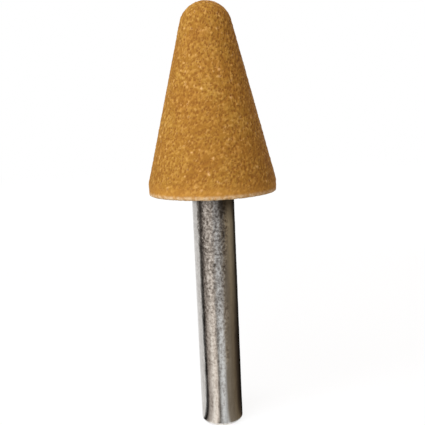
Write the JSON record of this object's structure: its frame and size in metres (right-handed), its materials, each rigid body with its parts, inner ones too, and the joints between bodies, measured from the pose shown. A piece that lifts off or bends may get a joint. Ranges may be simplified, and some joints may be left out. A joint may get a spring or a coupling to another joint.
{
  "type": "mounted point",
  "caption": "Mounted grinding point: a tapered, round-nosed abrasive stone cemented on a plain steel shank for a die grinder or drill collet.",
  "frame": {"origin": "centre of the shank's free end face", "axes": "+Z along the tool's axis, from the shank's end to the stone's nose; X and Y are free, because the part is round"},
  "size_m": [0.019, 0.019, 0.064],
  "materials": {
    "bonded_abrasive": "rough fired grit, golden brown with pale grains and dark pores",
    "shank_steel": "drawn bright steel with fine pits and streaks along the shank",
    "cement": "matt set cement"
  },
  "bodies": {
    "root": {"abrasive_head": "bonded_abrasive", "shank": "shank_steel", "mounting_cement": "cement"}
  },
  "joints": []
}
